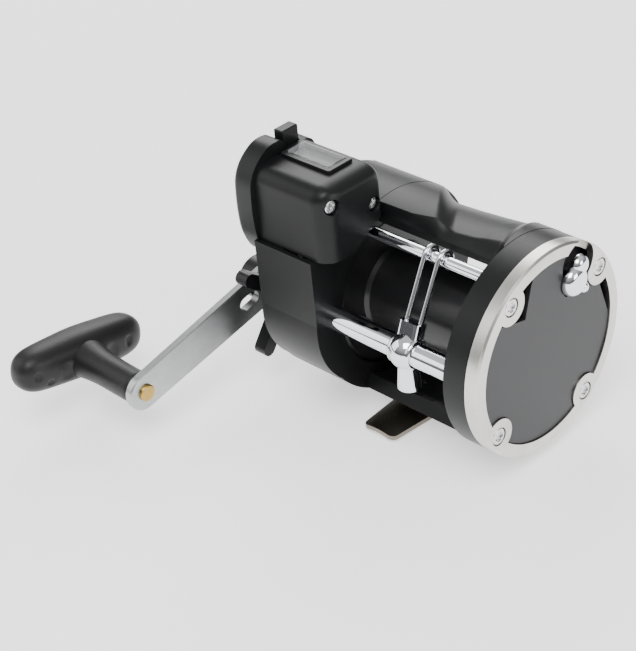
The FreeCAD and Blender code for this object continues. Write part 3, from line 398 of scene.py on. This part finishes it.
for piece in makeKnob():
    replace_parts(dress(piece, "gripRubber", "knob"), "knob")
print("knob made")


# thumb bar: a band about the spool whose height above the axis changes along it and round it
barShape = {"lowX": -13.4, "highX": 36.9, "start": 28.0, "foot": 103.5, "inner": 29.7, "hump": 36.4,
            "lowEdge": 32.2}


def smoothStep(value):
    value = np.clip(value, 0, 1)
    return value * value * (3 - 2 * value)


def makeThumbBar():
    x = np.linspace(barShape["lowX"], barShape["highX"], 150)[:, None]
    # where the top meets the front face
    edge = np.interp(x, [-14, 1, 5, 9, 13, 18, 25, 31, 34.5, 37], [100, 99.5, 98, 96.5, 96.5, 97, 96.5,
        93.5, 92, 98])
    turn = barShape["start"] + (edge - barShape["start"]) * np.linspace(0, 1, 80)[None, :]
    floor = np.interp(x, [-14, -8, -3, 8, 18, 27, 37], [32.4, 32.1, 32.8, 33.3, 34.0, 34.8, 35.2])
    humpEnd = -11.0 + 17.0 * (turn - 45.0) / 39.0
    lipStart = 27.0 + 7.0 * (turn - 47.0) / 41.0
    onHump = 1 - smoothStep((x - humpEnd) / 8.5 + 0.4)
    onLip = smoothStep((x - lipStart) / 3.0 + 0.5)
    outer = floor + (barShape["hump"] - floor) * onHump
    outer = outer + (36.1 - outer) * onLip
    faceSteps = np.linspace(0, 1, 12)[None, :]
    faceTurn = edge + (barShape["foot"] - edge) * faceSteps
    faceRadius = outer[:, -1:] + (barShape["lowEdge"] - outer[:, -1:]) * faceSteps ** 1.3
    turns = np.concatenate([turn, faceTurn[:, 1:], 0 * x + barShape["foot"] + 0.8, turn[:, ::-1]], 1)
    radii = np.concatenate([outer, faceRadius[:, 1:], 0 * x + barShape["inner"],
                            barShape["inner"] + 0 * outer], 1)
    angles = np.radians(turns)
    loops = np.stack([x + 0 * radii, radii * np.cos(angles), axisZ + radii * np.sin(angles)], -1)
    return loftLoops("thumbBar", loops, 26)


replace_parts(dress(makeThumbBar(), "mouldedBlack", "frame"), "thumb_bar")
print("thumb bar made")


# counter housing: a rounded box whose free end is turned in softly, most at the front
housing = {"farX": -37.5, "nearX": -7.0, "front": -37.0, "rear": -10.0, "base": axisZ + 28.0,
           "top": axisZ + 53.6,
           "frontRound": 6.5, "topRound": 3.6, "rearRound": 3.0, "wall": 1.5, "arch": 37.3,
           "frontWall": 3.1, "endWall": 3.2, "shaftY": -23.47, "shaftZ": axisZ + 41.17, "shaftBore": 1.6,
           "wellRadius": 2.7, "wellDepth": 2.6}
screwWells = ((-32.4, axisZ + 47.4), (-14.6, axisZ + 40.5))
window = {"lowX": -35.0, "highX": -16.6, "lowY": -24.0, "highY": -16.2}


def makeHousing():
    rows = []
    quarter = np.linspace(0, math.pi / 2, 14)
    steps = [(housing["farX"], 0.0)] + [(None, a) for a in quarter]
    for x, a in steps:
        sink = 1 - math.cos(a)
        along = math.sin(a)
        widest = max(housing["frontRound"], housing["topRound"], housing["rearRound"])
        place = x if x is not None else housing["nearX"] - widest + widest * along
        f, u, r = (housing[key] * sink for key in ("frontRound", "topRound", "rearRound"))
        outline = roundedRect(housing["front"] + f, housing["rear"] - r, housing["base"], housing["top"] - u,
                              (0.3, 0.3, 4.5 - min(1.5, r), 5.5 - min(1.5, f)), 12)
        rows.append(np.concatenate([np.full((len(outline), 1), place), outline], -1))
    shell = loftLoops("counterHousing", np.array(rows), 34)
    wall = housing["wall"]
    cutters = [cutterBox(window["lowX"], window["highX"], window["lowY"], window["highY"],
                         housing["top"] - 3, housing["top"] + 3),
               cutterBox(housing["farX"] - 1, housing["nearX"] - housing["endWall"],
                         housing["front"] + housing["frontWall"], housing["rear"] - wall,
                         housing["base"] - 1, housing["top"] - wall, 3.0),
               cutterRod(housing["nearX"] - 6, housing["nearX"] - 1.4,
                         housing["shaftY"], housing["shaftZ"], housing["shaftBore"]),
               # arched over the spool
               cutterRod(housing["farX"] - 2, housing["nearX"] + 2, 0, axisZ, housing["arch"])]
    for y, z in screwWells:
        cutters.append(cutterRod(housing["nearX"] - housing["wellDepth"], housing["nearX"] + 2,
                                 y, z, housing["wellRadius"]))
    cutAway(shell, cutters)
    return shell


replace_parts(dress(makeHousing(), "mouldedBlack", "frame"), "counter_housing")
print("counter housing made")


# counter end cap: a smooth crescent-topped lid with a rolled rim
capShape = {"farX": -46.0, "nearX": -37.5, "round": 2.2}


def makeCap():
    # the outline in Y and in Z above the spool's axis, from the front edge under and round to the rear and the top
    corners = [(-39.2, 36.0), (-38.2, 28.5), (-34.6, 21.6), (-27.5, 20.4), (-14.0, 24.0), (-9.0, 25.5),
               (-9.0, 40.0), (-9.1, 49.8), (-11.2, 53.4), (-16.0, 54.2), (-21.2, 54.4), (-22.6, 56.6),
               (-24.2, 58.2), (-28.6, 58.2), (-32.6, 56.4), (-36.4, 53.0), (-38.6, 48.6), (-39.2, 43.0)]
    count = 170
    outline = smoothLoop(corners, count) + np.array([0, axisZ])
    middle = outline.mean(0)
    toMiddle = middle - outline
    toMiddle /= np.linalg.norm(toMiddle, axis=1, keepdims=True)
    rows = [np.concatenate([np.full((count, 1), capShape["nearX"]), outline], -1)]
    for a in np.linspace(0, math.pi / 2, 12):
        x = capShape["farX"] + capShape["round"] * (1 - math.sin(a))
        ring = outline + toMiddle * capShape["round"] * (1 - math.cos(a))
        rows.append(np.concatenate([np.full((count, 1), x), ring], -1))
    return loftLoops("counterEndCap", np.array(rows), 34, flip=True)


endCap = makeCap()
buttonBox = [np.array(corner) * 1000 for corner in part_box("reset_button")]
cutAway(endCap, [cutterBox(buttonBox[0][0] - 0.25, buttonBox[1][0] + 0.25, buttonBox[0][1] - 0.25,
                           buttonBox[1][1] + 0.25, axisZ + 45, axisZ + 64, 0.3)])
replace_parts(dress(endCap, "mouldedBlack", "frame"), "counter_end_cap")
print("counter end cap made")


# clicker button: a polished dome, a smaller dome towards the rim and a bead beside it, all turned about X
clickerShape = {"turn": 59.0, "middle": 23.3, "seatX": 49.75}


def dome(name, y, z, radius, height, hollow=0.0, power=2.4):
    # the edge falls as a superellipse from the crown to the seat; the crown may be dished
    s = np.linspace(0, 1, 28)[:, None]
    t = np.linspace(0, 2 * math.pi, 64, endpoint=False)[None, :]
    across = radius * np.sin(s * math.pi / 2)
    rise = height * np.clip(1 - (across / radius) ** power, 0,
                            1) ** (1 / power) - hollow * np.exp(-(across / (radius * 0.34)) ** 2)
    loops = np.stack([clickerShape["seatX"] + rise + 0 * t, y + across[::1] * np.cos(t),
                      z + across * np.sin(t)], -1)
    return loftLoops(name, loops[1:][::-1], 60)


def makeClicker():
    turn = math.radians(clickerShape["turn"])
    y = clickerShape["middle"] * math.cos(turn)
    z = axisZ + clickerShape["middle"] * math.sin(turn)
    return [dome("clickerDome", y, z, 5.2, 3.7, 0.9), dome("clickerNeck", y + 5.2 * math.cos(turn),
                                                           z + 5.2 * math.sin(turn), 3.5, 3.0),
            dome("clickerBead", y + 2.9, z - 3.2, 2.2, 3.6)]


stemPiece = cutterRod(42.7, 49.9, 25.0 * math.cos(math.radians(59)),
                      axisZ + 25.0 * math.sin(math.radians(59)), 1.9)
stemPiece.name = "clickerStem"
for piece in makeClicker() + [stemPiece]:
    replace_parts(dress(piece, "chromePlate", "clicker"), "click_button")
print("clicker made")


# counter digits: flat numerals bent round each wheel
digits = {"size": 4.4, "clear": 0.03, "width": 0.60}


def makeNumerals(node, body):
    low, high = (np.array(corner) * 1000 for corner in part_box(node))
    middleX = (low[0] + high[0]) / 2
    centreY, centreZ = (low[1] + high[1]) / 2, (low[2] + high[2]) / 2
    reach = (high[2] - low[2]) / 2 + digits["clear"]
    points, faces, start = [], [], 0
    for value in range(10):
        curve = bpy.data.curves.new("numeral", "FONT")
        curve.body = str(value)
        curve.size = digits["size"]
        curve.align_x = "CENTER"
        curve.align_y = "CENTER"
        curve.extrude = 0.0
        text = bpy.data.objects.new("numeral", curve)
        bpy.context.scene.collection.objects.link(text)
        bpy.context.view_layer.update()
        mesh = bpy.data.meshes.new_from_object(text.evaluated_get(bpy.context.evaluated_depsgraph_get()))
        flat = np.empty(len(mesh.vertices) * 3)
        mesh.vertices.foreach_get("co", flat)
        flat = flat.reshape(-1, 3)
        bend = math.pi / 2 + flat[:, 1] / reach + math.radians(36 * value)  # zero is at the top
        points.append(np.stack([middleX - flat[:, 0] * digits["width"], centreY + reach * np.cos(bend),
                                centreZ + reach * np.sin(bend)], -1))
        faces += [tuple(start + corner for corner in face.vertices) for face in mesh.polygons]
        start += len(flat)
        bpy.data.objects.remove(text)
    mesh = bpy.data.meshes.new(node + "Numerals")
    mesh.from_pydata((np.concatenate(points) / 1000).tolist(), [], faces)
    piece = bpy.data.objects.new(node + "Numerals", mesh)
    bpy.context.scene.collection.objects.link(piece)
    return dress(piece, "digitInk", body)


makeNumerals("units_wheel", "counter")
makeNumerals("tens_wheel", "tens")
makeNumerals("hundreds_wheel", "hundreds")
print("numerals made")


# floor, lights and camera
def makeFloor():
    mesh = bpy.data.meshes.new("floor")
    half = 6.0
    below = -0.0006  # just under the foot
    mesh.from_pydata([(-half, -half, below), (half, -half, below), (half, half, below), (-half, half, below)],
                     [], [(0, 1, 2, 3)])
    floor = bpy.data.objects.new("floor", mesh)
    bpy.context.scene.collection.objects.link(floor)
    paper = bpy.data.materials.new("floorPaper")
    paper.use_nodes = True
    shader = paper.node_tree.nodes["Principled BSDF"]
    shader.inputs["Base Color"].default_value = (0.90, 0.90, 0.90, 1)
    shader.inputs["Roughness"].default_value = 0.9
    shader.inputs["Emission Color"].default_value = (1, 1, 1, 1)
    shader.inputs["Emission Strength"].default_value = 0.85
    mesh.materials.append(paper)


makeFloor()

lights = {
    "keyLight": {"place": (0.30, -0.45, 0.95), "size": 0.6, "power": 10.0},
    "fillLight": {"place": (-0.7, -0.5, 0.45), "size": 0.7, "power": 3.0},
    "rimLight": {"place": (-0.73, 0.68, 0.70), "size": 0.7, "power": 9.0},
    "faceLight": {"place": (0.95, 0.15, 0.40), "size": 0.45, "power": 4.0},
}
target = np.array([-0.01, -0.02, 0.04])
for name, look in lights.items():
    lamp = bpy.data.lights.new(name, "AREA")
    lamp.size = look["size"]
    lamp.energy = look["power"]
    holder = bpy.data.objects.new(name, lamp)
    bpy.context.scene.collection.objects.link(holder)
    back = np.array(look["place"]) - target
    back /= np.linalg.norm(back)
    side = np.cross((0, 0, 1), back)
    side /= np.linalg.norm(side)
    rise = np.cross(back, side)
    place = look["place"]
    holder.matrix_world = Matrix([[side[0], rise[0], back[0], place[0]], [side[1], rise[1], back[1], place[1]],
                                  [side[2], rise[2], back[2], place[2]], [0, 0, 0, 1]])

world = bpy.data.worlds.new("studio")
bpy.context.scene.world = world
world.use_nodes = True
sky = world.node_tree
skyPlace = sky.nodes.new("ShaderNodeTexCoord")
skyHeight = sky.nodes.new("ShaderNodeSeparateXYZ")
skyTones = sky.nodes.new("ShaderNodeValToRGB")  # dark at the horizon and bright overhead
skyTones.color_ramp.elements[0].position = 0.0
skyTones.color_ramp.elements[0].color = (0.10, 0.10, 0.105, 1)
skyTones.color_ramp.elements[1].position = 0.75
skyTones.color_ramp.elements[1].color = (1.0, 1.0, 1.0, 1)
sky.links.new(skyPlace.outputs["Generated"], skyHeight.inputs[0])
sky.links.new(skyHeight.outputs["Z"], skyTones.inputs[0])
sky.links.new(skyTones.outputs[0], sky.nodes["Background"].inputs[0])
sky.nodes["Background"].inputs[1].default_value = 0.7

camera = bpy.data.cameras.new("camera")
camera.lens = 94.0
camera.sensor_width = 36.0
camera.clip_start = 0.01
cameraHolder = bpy.data.objects.new("camera", camera)
bpy.context.scene.collection.objects.link(cameraHolder)
eye = (0.3209, -0.3452, 0.3453)
right, up, back = (0.7151, 0.6935, -0.0871), (-0.3346, 0.4490, 0.8285), (0.6137, -0.5634, 0.5531)
cameraHolder.matrix_world = Matrix([[right[0], up[0], back[0], eye[0]], [right[1], up[1], back[1], eye[1]],
                                    [right[2], up[2], back[2], eye[2]], [0, 0, 0, 1]])
bpy.context.scene.camera = cameraHolder
